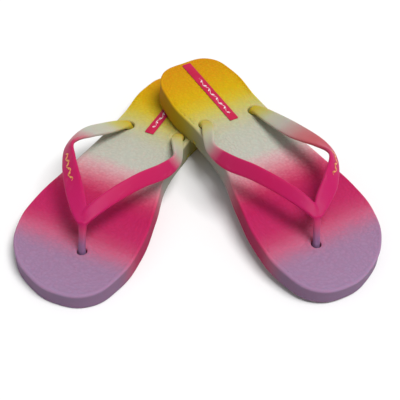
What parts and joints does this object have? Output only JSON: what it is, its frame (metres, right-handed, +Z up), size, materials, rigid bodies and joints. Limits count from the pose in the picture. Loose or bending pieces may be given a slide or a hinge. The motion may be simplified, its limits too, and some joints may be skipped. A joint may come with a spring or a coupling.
{
  "type": "pair of thong sandals",
  "caption": "Pair of thong sandals lying heel on heel: flat moulded soles with Y-shaped straps held by buttons under the sole.",
  "frame": {"origin": "centre of the whole pair's bounding box, on the surface that the pair stands on", "axes": "+Z up, -Y towards the toes and the viewer, +X towards the left sandal"},
  "size_m": [0.264, 0.2434, 0.0536],
  "materials": {
    "sole": "matt closed-cell PVC foam, pebbled top, colour fading from lavender toes through hot pink and pale mint to a yellow heel",
    "strap": "soft satin PVC, magenta with pale mint and yellow rear ends and a lavender post",
    "label": "satin printed film with a white ornament",
    "gold_ink": "raised gold print, slightly worn"
  },
  "bodies": {
    "right_sandal": {"right_sole": "sole", "right_strap": "strap", "right_heel_label": "label", "right_strap_emblem": "gold_ink"},
    "left_sandal": {"left_sole": "sole", "left_strap": "strap", "left_heel_label": "label", "left_strap_emblem": "gold_ink"}
  },
  "joints": [
    {"name": "left_sandal_lift", "type": "slide", "parent": "right_sandal", "child": "left_sandal", "axis": [0, 0, 1], "range_m": [0, 0.15]}
  ]
}
